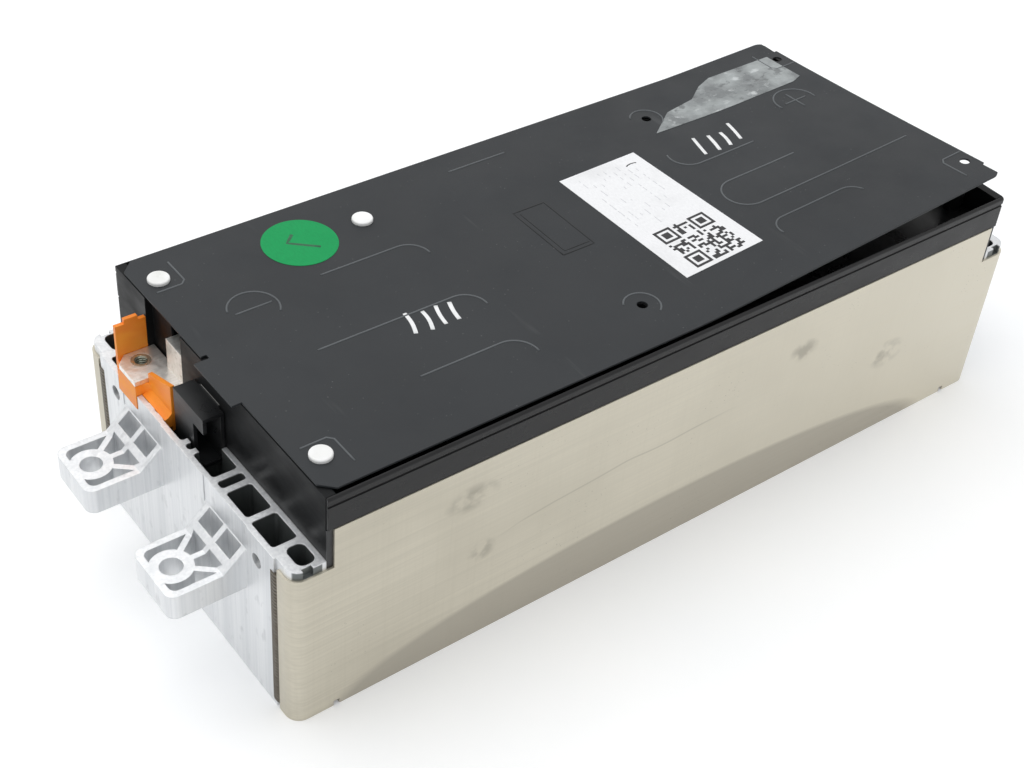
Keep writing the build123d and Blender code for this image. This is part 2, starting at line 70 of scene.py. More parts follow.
# ---- Places on the lid, in millimetres ----
CORNER_RIVET = (160.7, 56.8)
CORNER_BOX = 8.2
CORNER_BOX_TRIM = 1.6
CORNER_CHAMFER = 2.0
CORNER_OPEN = 4.0
EMPTY_HOLES = ((74.5, 50.2), (-14.0, -51.0))
HOLE_RING = 7.3
MINUS_CENTRE = (-139.3, 23.8)
PLUS_CENTRE = (140.7, 24.4)
POLE_RING = 9.9
POLE_BAR = 15.4
PLUS_SHARE = 0.8
RIDGE_WIDTH = 0.9
RIDGE_HEIGHT = 0.22
WINDOW_X = (-20.0, -4.4)
WINDOW_Y = (-10.2, 22.7)
WINDOW_INSET = 2.0
WINDOW_INSET_X = 2.2
WINDOW_INSET_END = 1.0
WINDOW_LINE = (0.9, 0.1)
WINDOW_INNER_LINE = (0.7, 0.1)
MARKER_WIDTHS = (1.6, 2.1)
MARKER_RISE = 0.05
MARKER_SINK = 0.03
CODE_CELLS = 22
CODE_SIZE = 27.0
CODE_CENTRE = (32.4, -31.8)
CODE_TURN = 1.0
CODE_CORNER = 7
CODE_SEED = 23
PRINT_LIFT = 0.03
PRINT_SINK = 0.02
DASH_ROWS = 9
DASH_ROW_START = 17.5
DASH_ROW_PITCH = 3.3
DASH_Y = (27.0, -10.0)
DASH_WIDTH = 0.45
DASH_RISE = 0.02
DASH_SHARE = 0.55
DASH_SEED = 31
PEN_CENTRE = (44.5, 19.5)
PEN_RADIUS = 6.0
PEN_WIDTH = 0.8
STICKER_CENTRE = (-103.5, 50.0)
TICK_WIDTH = 1.6

# ---- The shroud's lip, in millimetres ----
APRON_SCREEN = 5.6
APRON_RIM = 2.5
APRON_RISE = 2.4
APRON_DROP = 2.0
APRON_WIDTH = 17.4
APRON_STEPS = 5
APRON_SEAT = 0.2

# ---- The nuts' thread, in millimetres ----
THREAD_ROOT = 2.48
THREAD_CREST = 2.1
THREAD_PITCH = 1.0
THREAD_TURNS = 9
THREAD_START = 0.4
THREAD_STEPS = 36

# ---- Marks on the steel side and its painted reflection, in millimetres along X and Z ----
PAINTED_REFLECTION_CENTRE = (-10.0, -2.0)
PAINTED_REFLECTION_RADII = (162.0, 27.0)
SMUDGES = (
    ((-109, 76), (13, 7)),
    ((-103, 46), (7, 6)),
    ((115, 45), (12, 8)),
    ((58, 71), (9, 6)),
)

# ---- The scratch and the chambers' painted shade, in metres ----
SCRATCH_LEVEL = 0.0565
SCRATCH_SPAN = (-0.088, 0.014)
SCRATCH_BEND = -0.9
CHAMBER_INNER = (0.17105, 0.17145)
CHAMBER_OUTER = (0.1818, 0.1822)
CHAMBER_TOP = (0.0768, 0.0774)


# ---- Node materials ----
class Finish:
    """A node material painted in object coordinates, which are the part's own metres."""

    def __init__(self, name, roughness, metallic=0.0, shine=0.5, edge=0.0):
        self.material = bpy.data.materials.new(name)
        self.material.use_nodes = True
        self.tree = self.material.node_tree
        self.shader = self.tree.nodes["Principled BSDF"]
        self.shader.inputs["Roughness"].default_value = roughness
        self.shader.inputs["Metallic"].default_value = metallic
        self.shader.inputs["Specular IOR Level"].default_value = shine
        self.place = self.add("ShaderNodeTexCoord").outputs["Object"]
        self.axes = self.add("ShaderNodeSeparateXYZ", {0: self.place}).outputs
        self.normal = None
        if edge:
            self.normal = self.add("ShaderNodeBevel", {"Radius": edge}, samples=4).outputs[0]
            self.tree.links.new(self.normal, self.shader.inputs["Normal"])

    def add(self, kind, inputs=None, **settings):
        """A node with its settings, whose inputs are linked or given a value."""
        node = self.tree.nodes.new(kind)
        for key, value in settings.items():
            setattr(node, key, value)
        for key, value in (inputs or {}).items():
            if isinstance(value, bpy.types.NodeSocket):
                self.tree.links.new(value, node.inputs[key])
            else:
                node.inputs[key].default_value = value
        return node

    def sum(self, operation, a, b=0.0):
        """The result of one piece of arithmetic on two values."""
        return self.add("ShaderNodeMath", {0: a, 1: b}, operation=operation).outputs[0]

    def fit(self, value, low, high, to_low=0.0, to_high=1.0):
        """A value carried from one range to another, held at both ends."""
        inputs = {"Value": value, 1: low, 2: high, 3: to_low, 4: to_high}
        return self.add("ShaderNodeMapRange", inputs, clamp=True).outputs[0]

    def stretched(self, stretch):
        """The object's coordinates, scaled along each axis."""
        inputs = {0: self.place, 1: stretch}
        return self.add("ShaderNodeVectorMath", inputs, operation="MULTIPLY").outputs[0]

    def noise(self, scale, detail=3.0, stretch=(1.0, 1.0, 1.0), rough=0.5):
        """Soft cloudy variation from 0 to 1."""
        inputs = {"Vector": self.stretched(stretch), "Scale": scale, "Detail": detail}
        inputs["Roughness"] = rough
        return self.add("ShaderNodeTexNoise", inputs).outputs[0]

    def flecks(self, scale, size):
        """Small separate dots: 1 inside a dot, 0 outside."""
        inputs = {"Vector": self.place, "Scale": scale}
        distance = self.add("ShaderNodeTexVoronoi", inputs).outputs["Distance"]
        return self.fit(distance, size * 0.6, size, 1.0, 0.0)

    def mix(self, amount, a, b):
        """A colour between two others."""
        inputs = {0: amount, 6: a, 7: b}
        return self.add("ShaderNodeMix", inputs, data_type="RGBA").outputs[2]

    def band(self, axis, low, high, soft):
        """1 between two places along an axis, fading out over a soft edge."""
        rise = self.fit(self.axes[axis], low - soft, low + soft)
        fall = self.fit(self.axes[axis], high - soft, high + soft, 1.0, 0.0)
        return self.sum("MULTIPLY", rise, fall)

    def spot(self, centre, radii, soft):
        """1 inside an oval on the X-Z plane, fading out to its rim."""
        total = None
        for axis, middle, radius in zip((0, 2), centre, radii):
            offset = self.sum("SUBTRACT", self.axes[axis], middle * MM)
            share = self.sum("ABSOLUTE", self.sum("DIVIDE", offset, radius * MM))
            square = self.sum("POWER", share, 2.0)
            total = square if total is None else self.sum("ADD", total, square)
        return self.fit(total, 1.0 - soft, 1.0, 1.0, 0.0)

    def colour(self, value):
        """Sets the base colour."""
        self.tree.links.new(value, self.shader.inputs["Base Color"])

    def gloss(self, value, low, high):
        """Lets a value from 0 to 1 drive the roughness between two limits."""
        self.tree.links.new(self.fit(value, 0.3, 0.7, low, high), self.shader.inputs["Roughness"])

    def bump(self, height, distance, strength=1.0):
        """Adds relief on top of any relief that is already there."""
        inputs = {"Strength": strength, "Distance": distance, "Height": height}
        if self.normal is not None:
            inputs["Normal"] = self.normal
        self.normal = self.add("ShaderNodeBump", inputs).outputs[0]
        self.tree.links.new(self.normal, self.shader.inputs["Normal"])


def rgb(red, green, blue):
    """A colour given in screen values from 0 to 255, as a linear one."""
    linear = []
    for value in (red, green, blue):
        share = value / 255
        linear.append(share / 12.92 if share <= 0.04045 else ((share + 0.055) / 1.055) ** 2.4)
    return (*linear, 1.0)


def lid_finish(name, tone):
    """Charcoal sheet with a fine grain, light dust and faint rub marks."""
    finish = Finish(name, 0.5, shine=0.22, edge=0.0002)
    grain = finish.noise(5200, 2)
    cloud = finish.noise(22, 4)
    base = finish.mix(finish.fit(cloud, 0.35, 0.7), rgb(*tone), rgb(*[c * 1.13 for c in tone]))
    base = finish.mix(finish.fit(grain, 0.35, 0.75, 0.0, 0.35), base, rgb(*[c * 1.5 for c in tone]))
    dust = finish.sum("MULTIPLY", finish.flecks(330, 0.10), finish.fit(finish.noise(60, 2), 0.45, 0.6))
    base = finish.mix(finish.sum("MULTIPLY", dust, 0.35), base, rgb(128, 129, 130))
    rubs = finish.noise(150, 3, (1.0, 0.06, 1.0))
    rubs = finish.sum("MULTIPLY", finish.fit(rubs, 0.66, 0.74), finish.fit(finish.noise(28, 2), 0.5, 0.62))
    base = finish.mix(finish.sum("MULTIPLY", rubs, 0.22), base, rgb(120, 121, 122))
    finish.colour(base)
    finish.gloss(finish.noise(45, 3), 0.42, 0.58)
    finish.bump(grain, 0.00004, 0.6)
    finish.bump(finish.noise(35, 2), 0.0004, 0.35)
    return finish.material


def steel_finish():
    """Rolled sheet: fine streaks, a painted dark reflection low down on the near side, painted light toward
    the far end, smudges and scratches.
    """
    finish = Finish("steel_sheet", 0.4, metallic=0.72, edge=0.0004)
    streak = finish.noise(260, 3, (0.05, 1.0, 4.0))
    upright = finish.noise(300, 3, (3.0, 1.0, 0.05))
    base = finish.mix(finish.fit(streak, 0.3, 0.7), rgb(196, 190, 174), rgb(209, 203, 187))
    base = finish.mix(finish.fit(upright, 0.45, 0.8, 0.0, 0.22), base, rgb(186, 180, 163))
    cloud = finish.noise(14, 3)
    base = finish.mix(finish.fit(cloud, 0.45, 0.75, 0.0, 0.5), base, rgb(178, 172, 156))
    # Painted light: the sheet is coloured steadily lighter toward the far end.
    far_end_painted_light = finish.fit(finish.axes[0], -0.17, 0.18, 0.0, 0.75)
    base = finish.mix(far_end_painted_light, base, rgb(224, 218, 202))
    near_side = finish.fit(finish.axes[1], -0.01, 0.01, 1.0, 0.0)
    # Painted reflection: a broad darker oval low on the near side stands in for a dark reflection.
    lens = finish.sum("MULTIPLY", finish.spot(PAINTED_REFLECTION_CENTRE, PAINTED_REFLECTION_RADII, soft=0.14), near_side)
    base = finish.mix(finish.sum("MULTIPLY", lens, 0.75), base, rgb(168, 162, 150))
    ragged = finish.fit(finish.noise(130, 4), 0.42, 0.6)
    smudges = None
    for centre, radii in SMUDGES:
        mark = finish.spot(centre, radii, soft=0.9)
        smudges = mark if smudges is None else finish.sum("MAXIMUM", smudges, mark)
    smudges = finish.sum("MULTIPLY", finish.sum("MULTIPLY", smudges, ragged), near_side)
    base = finish.mix(finish.sum("MULTIPLY", smudges, 0.5), base, rgb(132, 127, 116))
    wander = finish.fit(finish.noise(18, 2), 0.3, 0.7, -0.0015, 0.0015)
    bend = finish.sum("MULTIPLY", finish.axes[0], finish.axes[0])
    level = finish.sum("ADD", finish.sum("MULTIPLY", bend, SCRATCH_BEND), wander)
    offset = finish.sum("SUBTRACT", finish.sum("SUBTRACT", finish.axes[2], SCRATCH_LEVEL), level)
    scratch = finish.fit(finish.sum("ABSOLUTE", offset), 0.0002, 0.0006, 1.0, 0.0)
    scratch = finish.sum("MULTIPLY", scratch, finish.band(0, *SCRATCH_SPAN, 0.01))
    scratch = finish.sum("MULTIPLY", scratch, near_side)
    base = finish.mix(finish.sum("MULTIPLY", scratch, 0.35), base, rgb(150, 145, 132))
    specks = finish.sum("MULTIPLY", finish.flecks(520, 0.13), finish.fit(finish.noise(45, 2), 0.55, 0.65))
    base = finish.mix(finish.sum("MULTIPLY", specks, 0.5), base, rgb(110, 104, 92))
    finish.colour(base)
    finish.gloss(streak, 0.34, 0.5)
    finish.bump(streak, 0.00005, 0.3)
    finish.bump(cloud, 0.0012, 0.12)
    return finish.material


def extrusion_finish():
    """Mill-finish aluminium with upright draw lines, and painted shade darkening the chambers."""
    finish = Finish("extruded_aluminium", 0.36, metallic=0.55, edge=0.0004)
    lines = finish.noise(900, 3, (1.0, 1.0, 0.012))
    broad = finish.noise(160, 2, (1.0, 1.0, 0.03))
    base = finish.mix(finish.fit(lines, 0.3, 0.7), rgb(222, 224, 226), rgb(238, 239, 240))
    base = finish.mix(finish.fit(broad, 0.45, 0.8, 0.0, 0.5), base, rgb(204, 207, 210))
    scuff = finish.fit(finish.noise(240, 4, (1.0, 1.0, 0.5)), 0.6, 0.72)
    base = finish.mix(finish.sum("MULTIPLY", scuff, 0.35), base, rgb(176, 178, 180))
    # Painted shade: the inside of the chambers, below their top, is coloured dark green-grey for the shade
    # in their depth.
    reach = finish.sum("ABSOLUTE", finish.axes[0])
    outer = finish.fit(reach, *CHAMBER_OUTER, 1.0, 0.0)
    inside = finish.sum("MULTIPLY", finish.fit(reach, *CHAMBER_INNER), outer)
    below = finish.fit(finish.axes[2], *CHAMBER_TOP, 1.0, 0.0)
    chamber_painted_shade = finish.sum("MULTIPLY", inside, below)
    base = finish.mix(finish.sum("MULTIPLY", chamber_painted_shade, 0.86), base, rgb(58, 66, 64))
    finish.colour(base)
    finish.gloss(lines, 0.3, 0.46)
    finish.bump(lines, 0.00006, 0.35)
    return finish.material


def bar_finish():
    """Satin bar, brushed along its length, with scuffs round the landing."""
    finish = Finish("bar_aluminium", 0.34, metallic=0.8, edge=0.0003)
    lines = finish.noise(500, 3, (0.15, 2.0, 1.0))
    scuff = finish.noise(420, 5)
    base = finish.mix(finish.fit(lines, 0.3, 0.7), rgb(226, 224, 218), rgb(242, 241, 237))
    base = finish.mix(finish.fit(scuff, 0.56, 0.66, 0.0, 0.6), base, rgb(192, 189, 181))
    finish.colour(base)
    finish.gloss(scuff, 0.28, 0.48)
    finish.bump(scuff, 0.00008, 0.5)
    return finish.material


def moulding_finish(name, tone, roughness, streaks=0.3, shine=0.35):
    """A moulded plastic with flow marks, fine texture and light handling dust."""
    finish = Finish(name, roughness, shine=shine, edge=0.0003)
    flow = finish.noise(70, 3, (1.0, 1.0, 2.5))
    fine = finish.noise(2600, 2)
    dust = finish.sum("MULTIPLY", finish.flecks(700, 0.12), finish.fit(finish.noise(80, 2), 0.5, 0.6))
    base = finish.mix(finish.fit(flow, 0.35, 0.7), rgb(*tone), rgb(*[min(255, c * 1.12 + 3) for c in tone]))
    base = finish.mix(finish.sum("MULTIPLY", dust, streaks), base, rgb(*[min(255, c + 70) for c in tone]))
    finish.colour(base)
    finish.gloss(flow, roughness - 0.08, roughness + 0.1)
    finish.bump(fine, 0.00003, 0.5)
    finish.bump(flow, 0.0005, 0.1)
    return finish.material


def weld_finish():
    """Dark laser weld with close ripples across the seam."""
    finish = Finish("weld_metal", 0.5, metallic=0.6)
    inputs = {"Vector": finish.place, "Scale": 190.0, "Distortion": 2.2, "Detail": 2.0}
    ripple = finish.add("ShaderNodeTexWave", inputs, bands_direction="Z").outputs[1]
    base = finish.mix(ripple, rgb(64, 58, 50), rgb(124, 117, 104))
    base = finish.mix(finish.fit(finish.noise(260, 4), 0.45, 0.65, 0.0, 0.7), base, rgb(82, 72, 58))
    finish.colour(base)
    finish.bump(ripple, 0.0003, 0.7)
    return finish.material


def nut_finish():
    """Zinc plating with a faint yellow bloom."""
    finish = Finish("nut_steel", 0.3, metallic=0.9, edge=0.0003)
    bloom = finish.noise(320, 3)
    finish.colour(finish.mix(finish.fit(bloom, 0.35, 0.7), rgb(196, 199, 186), rgb(170, 172, 158)))
    finish.gloss(bloom, 0.24, 0.42)
    finish.bump(finish.noise(2000, 2), 0.00003, 0.5)
    return finish.material


def paper_finish(name, tone, roughness, shade=0.93):
    """Printed label stock: faint fibres, slight soiling and a low ripple."""
    finish = Finish(name, roughness, shine=0.2)
    fibre = finish.noise(1800, 3, (1.0, 0.4, 1.0))
    soil = finish.noise(60, 4)
    base = finish.mix(finish.fit(fibre, 0.35, 0.7, 0.0, 0.5), rgb(*tone), rgb(*[c * shade for c in tone]))
    base = finish.mix(finish.fit(soil, 0.55, 0.8, 0.0, 0.35), base, rgb(*[c * 0.86 for c in tone]))
    finish.colour(base)
    finish.gloss(soil, roughness - 0.06, roughness + 0.08)
    finish.bump(finish.noise(110, 2), 0.0004, 0.3)
    return finish.material


def tape_finish():
    """Crinkled grey film with painted highlights on its folds, painted shade in its creases, and patches
    that let the lid show.
    """
    finish = Finish("tape_film", 0.3)
    wrinkle_and_painted_light = finish.noise(120, 5, (1.0, 1.3, 1.0), 0.6)
    patches = finish.noise(75, 4)
    base = finish.mix(finish.fit(patches, 0.4, 0.62), rgb(116, 120, 121), rgb(160, 165, 165))
    # Painted highlight: the crests of the wrinkles are coloured near-white.
    base = finish.mix(finish.fit(wrinkle_and_painted_light, 0.58, 0.68, 0.0, 0.8), base, rgb(204, 208, 208))
    # Painted shade: the hollows of the wrinkles are coloured darker.
    base = finish.mix(finish.fit(wrinkle_and_painted_light, 0.36, 0.42, 0.7, 0.0), base, rgb(84, 87, 88))
    finish.colour(base)
    finish.gloss(patches, 0.2, 0.42)
    finish.bump(wrinkle_and_painted_light, 0.0012, 0.8)
    return finish.material


def soft_finish(name, low, high, scale, roughness, metallic=0.0):
    """A plain hidden material with a slow change of tone and a fine texture."""
    finish = Finish(name, roughness, metallic=metallic)
    finish.colour(finish.mix(finish.fit(finish.noise(scale, 3), 0.35, 0.65), rgb(*low), rgb(*high)))
    finish.bump(finish.noise(scale * 12, 2), 0.00005, 0.5)
    return finish.material


def make_finishes():
    """One finish for each slot of the record."""
    return {
        "steel_sheet": steel_finish(),
        "extruded_aluminium": extrusion_finish(),
        "bar_aluminium": bar_finish(),
        "weld_metal": weld_finish(),
        "nut_steel": nut_finish(),
        "lid_plastic": lid_finish("lid_plastic", (43, 45, 47)),
        "carrier_plastic": moulding_finish("carrier_plastic", (19, 19, 20), 0.3, 0.25, 0.3),
        "insulator_plastic": moulding_finish("insulator_plastic", (19, 20, 21), 0.42, 0.25, 0.12),
        "connector_plastic": moulding_finish("connector_plastic", (27, 28, 29), 0.34, 0.2),
        "orange_plastic": moulding_finish("orange_plastic", (250, 140, 42), 0.42, 0.2),
        "white_plastic": moulding_finish("white_plastic", (236, 236, 232), 0.32, 0.1),
        "label_paper": paper_finish("label_paper", (247, 247, 248), 0.45),
        "green_paper": paper_finish("green_paper", (0, 154, 84), 0.4, 0.9),
        "tape_film": tape_finish(),
        "foam_pad": soft_finish("foam_pad", (214, 214, 208), (226, 226, 221), 90, 0.8),
        "cell_can": soft_finish("cell_can", (158, 174, 194), (176, 190, 206), 60, 0.4, 0.6),
        "flex_film": soft_finish("flex_film", (150, 150, 147), (176, 176, 172), 80, 0.35),
        "insulating_film": soft_finish("insulating_film", (26, 27, 29), (36, 37, 39), 70, 0.4),
    }


# ---- Work on the lid's warped surface ----
def surface_under(names):
    """A search tree over the faces of some nodes."""
    points = []
    faces = []
    for name in names:
        mesh = nodes[name].data
        start = len(points)
        points += [vertex.co.copy() for vertex in mesh.vertices]
        faces += [[start + index for index in polygon.vertices] for polygon in mesh.polygons]
    return BVHTree.FromPolygons(points, faces)


def height(tree, x, y):
    """The height of the surface at a place given in millimetres, in metres."""
    hit = tree.ray_cast(Vector((x * MM, y * MM, 1.0)), Vector((0.0, 0.0, -1.0)))[0]
    return hit.z if hit is not None else None


def line(x0, y0, x1, y1, step=3.0):
    """Points along a straight line, close enough to follow the lid's warp."""
    count = max(1, math.ceil(math.hypot(x1 - x0, y1 - y0) / step))
    return [(x0 + (x1 - x0) * i / count, y0 + (y1 - y0) * i / count) for i in range(count + 1)]


def arc(x, y, radius, start, end, step=9.0):
    """Points along an arc between two angles in degrees."""
    count = max(2, math.ceil(abs(end - start) / step))
    turns = [math.radians(start + (end - start) * i / count) for i in range(count + 1)]
    return [(x + radius * math.cos(turn), y + radius * math.sin(turn)) for turn in turns]


def without_doubles(path):
    """A path with no two points in a row at the same place."""
    kept = [path[0]]
    for point in path[1:]:
        if math.dist(point, kept[-1]) > 0.05:
            kept.append(point)
    return kept


def close_rings(mesh, rings):
    """A closed skin through a row of like rings, with a face over each end."""
    count = len(rings[0])
    for ring, following in zip(rings, rings[1:]):
        for i in range(count):
            j = (i + 1) % count
            mesh.faces.new((ring[i], ring[j], following[j], following[i]))
    mesh.faces.new(list(reversed(rings[0])))
    mesh.faces.new(rings[-1])


def bead(mesh, tree, path, width, rise, sink=0.08):
    """A closed low bead laid along a path, following the surface under it."""
    section = ((-0.5, -sink), (-0.32, rise * 0.75), (0.0, rise), (0.32, rise * 0.75), (0.5, -sink))
    path = without_doubles(path)
    rings = []
    for index, (x, y) in enumerate(path):
        ahead = path[min(index + 1, len(path) - 1)]
        behind = path[max(index - 1, 0)]
        along = Vector((ahead[0] - behind[0], ahead[1] - behind[1])).normalized()
        ring = []
        for across, up in section:
            px = x - along.y * across * width
            py = y + along.x * across * width
            base = height(tree, px, py)
            if base is None:
                base = height(tree, x, y)
            if base is None:
                return
            ring.append(mesh.verts.new((px * MM, py * MM, base + up * MM)))
        rings.append(ring)
    close_rings(mesh, rings)


def finish_piece(name, mesh, material, smooth=True):
    """Turns a built mesh into a piece that rides with the module."""
    bmesh.ops.recalc_face_normals(mesh, faces=mesh.faces)
    data = bpy.data.meshes.new(name)
    mesh.to_mesh(data)
    mesh.free()
    data.materials.append(material)
    for polygon in data.polygons:
        polygon.use_smooth = smooth
    piece = bpy.data.objects.new(name, data)
    bpy.context.scene.collection.objects.link(piece)
    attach(piece, "root")
    return piece


def relief_paths():
    """The embossed outlines of the lid."""
    paths = [
        line(-107.6, 28.2, -72.7, 28.2) + arc(-72.7, 19.3, 8.9, 90, -5),
        line(-132.2, -9.3, -72.7, -9.3) + arc(-72.7, -18.2, 8.9, 90, -8),
        line(-109.3, -40.9, -73.8, -40.9) + arc(-73.8, -50.5, 9.6, 90, -8),
        arc(70.0, 18.5, 8.7, 155, 270) + line(70.0, 9.8, 101.0, 9.8),
        line(108.4, -7.3, 70.7, -7.3)
        + arc(70.7, -17.15, 9.85, 90, 270)
        + line(70.7, -27.0, 157.0, -27.0),
        arc(70.0, -46.6, 7.0, 192, 90) + line(70.0, -39.6, 104.0, -39.6) + arc(104.0, -47.4, 7.8, 90, 15),
        line(-24.9, 60.9, 4.0, 60.9),
        arc(*MINUS_CENTRE, POLE_RING, -40, 165),
        arc(*PLUS_CENTRE, POLE_RING, -15, 190),
    ]
    half = POLE_BAR / 2
    x, y = MINUS_CENTRE
    paths.append(line(x - half, y, x + half, y))
    x, y = PLUS_CENTRE
    reach = half * PLUS_SHARE
    paths.append(line(x - reach, y, x + reach, y))
    paths.append(line(x, y - reach, x, y + reach))
    for x, y in EMPTY_HOLES:
        paths.append(arc(x, y, HOLE_RING, -60, 150))
    for end in (-1, 1):
        for side in (-1, 1):
            x, y = end * CORNER_RIVET[0], side * CORNER_RIVET[1]
            inner_x = x - end * CORNER_BOX
            inner_y = y - side * (CORNER_BOX - CORNER_BOX_TRIM)
            start_x = x + end * (CORNER_BOX - CORNER_OPEN)
            corner = line(start_x, inner_y, inner_x + end * CORNER_CHAMFER, inner_y)
            corner += line(inner_x, inner_y + side * CORNER_CHAMFER, inner_x, y + side * CORNER_BOX)
            paths.append(corner)
    return paths


def make_relief(tree, material):
    """The lid's embossed lines as one piece."""
    mesh = bmesh.new()
    for path in relief_paths():
        bead(mesh, tree, path, RIDGE_WIDTH, RIDGE_HEIGHT)
    finish_piece("lid_relief", mesh, material)


def make_window(tree, material):
    """The long rectangular outline in the middle of the lid, with its inner line."""
    mesh = bmesh.new()
    left, right = WINDOW_X
    low, high = WINDOW_Y
    frame_path = line(left, low, right, low) + line(right, low, right, high)
    frame_path += line(right, high, left, high) + line(left, high, left, low)
    bead(mesh, tree, frame_path, *WINDOW_LINE)
    inner_x = left + WINDOW_INSET_X
    inner_y = low + WINDOW_INSET
    inner = line(inner_x, high - WINDOW_INSET, inner_x, inner_y)
    inner += line(inner_x, inner_y, right - WINDOW_INSET_END, inner_y)
    bead(mesh, tree, inner, *WINDOW_INNER_LINE)
    finish_piece("lid_window", mesh, material)


def tally(tree, x, y, count, spacing, length, lean, seed):
    """Quick marker strokes side by side, each a little different."""
    random.seed(seed)
    mesh = bmesh.new()
    for index in range(count):
        base_x = x + index * spacing + random.uniform(-0.6, 0.6)
        base_y = y + random.uniform(-1.0, 1.0)
        reach = length * random.uniform(0.85, 1.1)
        bow = random.uniform(-0.8, 0.8)
        path = []
        for step in range(9):
            share = step / 8
            px = base_x + lean * share * reach + bow * math.sin(math.pi * share)
            path.append((px, base_y + share * reach))
        bead(mesh, tree, path, random.uniform(*MARKER_WIDTHS), MARKER_RISE, MARKER_SINK)
    return mesh


def make_marker(tree, material):
    """Two rows of plain strokes where the marker digits stand."""
    front = tally(tree, -97, -20.5, 4, spacing=6.2, length=11.5, lean=0.25, seed=5)
    finish_piece("marker_front", front, material)
    rear = tally(tree, 77, 13.5, 4, spacing=7.2, length=12.0, lean=0.3, seed=11)
    finish_piece("marker_rear", rear, material)


def make_code(tree, material):
    """A made-up block code: a seeded pattern with three square corners."""
    random.seed(CODE_SEED)
    cell = CODE_SIZE / CODE_CELLS
    turn = math.radians(CODE_TURN)
    far = CODE_CELLS - CODE_CORNER
    corners = ((0, 0), (0, far), (far, far))
    mesh = bmesh.new()

    def dark(column, row):
        """Whether a cell is filled."""
        chance = random.random() < 0.5
        for left, low in corners:
            dx = column - left
            dy = row - low
            if -1 <= dx <= CODE_CORNER and -1 <= dy <= CODE_CORNER:
                ring = max(abs(dx - 3), abs(dy - 3))
                return ring in (0, 1, 3)
        return chance

    def square(column, row, run):
        """One thin block over a run of filled cells."""
        low_x = column * cell - CODE_SIZE / 2
        low_y = row * cell - CODE_SIZE / 2
        corner_points = []
        for px, py in ((0, 0), (run * cell, 0), (run * cell, cell), (0, cell)):
            ax = low_x + px
            ay = low_y + py
            x = CODE_CENTRE[0] + ax * math.cos(turn) - ay * math.sin(turn)
            y = CODE_CENTRE[1] + ax * math.sin(turn) + ay * math.cos(turn)
            corner_points.append((x, y))
        base = []
        for x, y in corner_points:
            z = height(tree, x, y) - PRINT_LIFT * MM
            base.append(mesh.verts.new((x * MM, y * MM, z)))
        top = [mesh.verts.new((v.co.x, v.co.y, v.co.z + 2 * PRINT_LIFT * MM)) for v in base]
        close_rings(mesh, [base, top])

    for row in range(CODE_CELLS):
        run = 0
        for column in range(CODE_CELLS + 1):
            if column < CODE_CELLS and dark(column, row):
                run += 1
            elif run:
                square(column - run, row, run)
                run = 0
    finish_piece("label_code", mesh, material, smooth=False)


def make_label_lines(tree, material):
    """Faint rows of short dashes, as pale as faded print."""
    random.seed(DASH_SEED)
    mesh = bmesh.new()
    for row in range(DASH_ROWS):
        x = DASH_ROW_START + row * DASH_ROW_PITCH
        y = DASH_Y[0]
        while y > DASH_Y[1]:
            reach = random.uniform(1.0, 4.5)
            if random.random() < DASH_SHARE:
                bead(mesh, tree, line(x, y, x, y - reach), DASH_WIDTH, DASH_RISE, PRINT_SINK)
            y -= reach + random.uniform(1.0, 3.0)
    finish_piece("label_lines", mesh, material)


def make_label_stroke(tree, material):
    """One short pen stroke near the label's corner."""
    mesh = bmesh.new()
    bead(mesh, tree, arc(*PEN_CENTRE, PEN_RADIUS, 65, 120), PEN_WIDTH, PRINT_LIFT, PRINT_SINK)
    finish_piece("label_stroke", mesh, material)


def make_tick(tree, material):
    """A plain tick on the round sticker."""
    x, y = STICKER_CENTRE
    mesh = bmesh.new()
    path = line(x, y + 6.0, x - 4.5, y + 2.0) + line(x - 4.5, y + 2.0, x + 5.5, y - 6.5)
    bead(mesh, tree, path, TICK_WIDTH, PRINT_LIFT, PRINT_SINK)
    finish_piece("sticker_tick", mesh, material)


def make_threads(material):
    """The thread turns that show inside the two terminal nuts."""
    for end in ("front", "rear"):
        low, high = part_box("terminal_nut_" + end)
        x = (low.x + high.x) / 2
        y = (low.y + high.y) / 2
        root = THREAD_ROOT * MM
        crest = THREAD_CREST * MM
        pitch = THREAD_PITCH * MM
        turns = THREAD_TURNS
        mesh = bmesh.new()
        rings = []
        for index in range(turns * THREAD_STEPS + 1):
            angle = 2 * math.pi * index / THREAD_STEPS
            z = high.z - THREAD_START * MM - pitch * index / THREAD_STEPS
            section = ((root, 0.36), (crest, 0.06), (crest, -0.06), (root, -0.36))
            ring = []
            for radius, share in section:
                place = (x + radius * math.cos(angle), y + radius * math.sin(angle), z + share * pitch)
                ring.append(mesh.verts.new(place))
            rings.append(ring)
        close_rings(mesh, rings)
        finish_piece("thread_" + end, mesh, material)


def make_aprons(material):
    """The shroud's lower lip, which slopes from its screen to the end plate's rim."""
    for end in ("front", "rear"):
        low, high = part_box("terminal_shroud_" + end)
        plate_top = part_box("end_plate_" + end)[1].z
        side = -1 if end == "front" else 1
        outer = low.x if end == "front" else high.x
        screen = outer - side * APRON_SCREEN * MM
        rim = outer - side * APRON_RIM * MM
        rise = plate_top + APRON_RISE * MM
        profile = [(screen, low.z + APRON_DROP * MM), (screen, rise)]
        for step in range(1, APRON_STEPS + 1):
            share = step / APRON_STEPS
            bend = plate_top + APRON_SEAT * MM + (rise - plate_top) * (1 - share) ** 2
            profile.append((screen + (rim - screen) * share, bend))
        profile.append((rim, low.z + APRON_DROP * MM))
        mesh = bmesh.new()
        sides = []
        for y in (low.y, low.y + APRON_WIDTH * MM):
            sides.append([mesh.verts.new((px, y, pz)) for px, pz in profile])
        close_rings(mesh, sides)
        finish_piece("shroud_apron_" + end, mesh, material, smooth=False)


